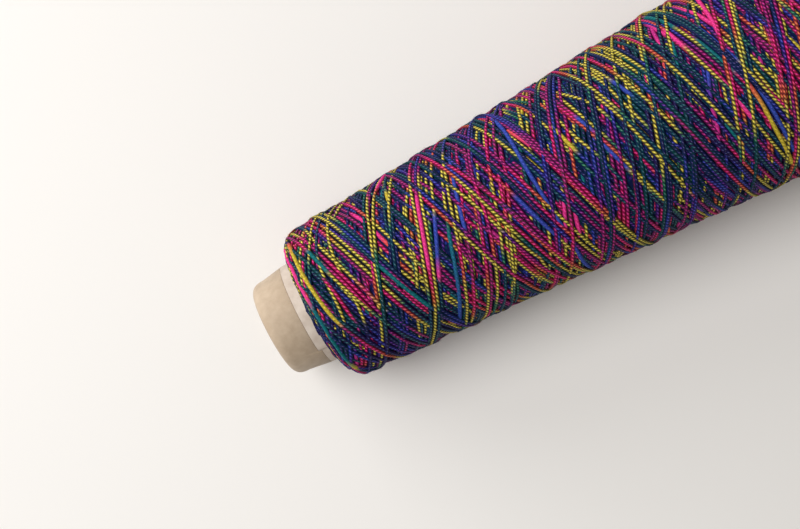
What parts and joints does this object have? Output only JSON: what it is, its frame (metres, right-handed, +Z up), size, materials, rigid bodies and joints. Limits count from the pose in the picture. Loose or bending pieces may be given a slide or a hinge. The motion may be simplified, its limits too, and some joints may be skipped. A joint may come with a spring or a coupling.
{
  "type": "cone of yarn",
  "caption": "Hollow tapered paperboard cone wound with spiral fancy yarn, lying on its side, its rolled nose and pale outer paper ply bare at the narrow end.",
  "frame": {"origin": "on the surface the cone lies on, under the middle of the part's bounding box", "axes": "+X from the nose to the wide base end, +Z up; the cone's own axis rises 3.5 degrees from the nose to the base, because the part lies on the side of the wound yarn"},
  "size_m": [0.2324, 0.0768, 0.0751],
  "materials": {
    "kraft_paperboard": "matte mottled brown kraft board, rubbed smooth at the rolled nose",
    "pale_paper_ply": "matte pale grey-pink paper",
    "fancy_yarn": "matte two-ply spiral yarn in pink, magenta, yellow, coral, teal, blue and purple with a dark navy binder thread"
  },
  "bodies": {
    "root": {"core_cone": "kraft_paperboard", "core_ply": "pale_paper_ply", "yarn_wound": "fancy_yarn"}
  },
  "joints": []
}
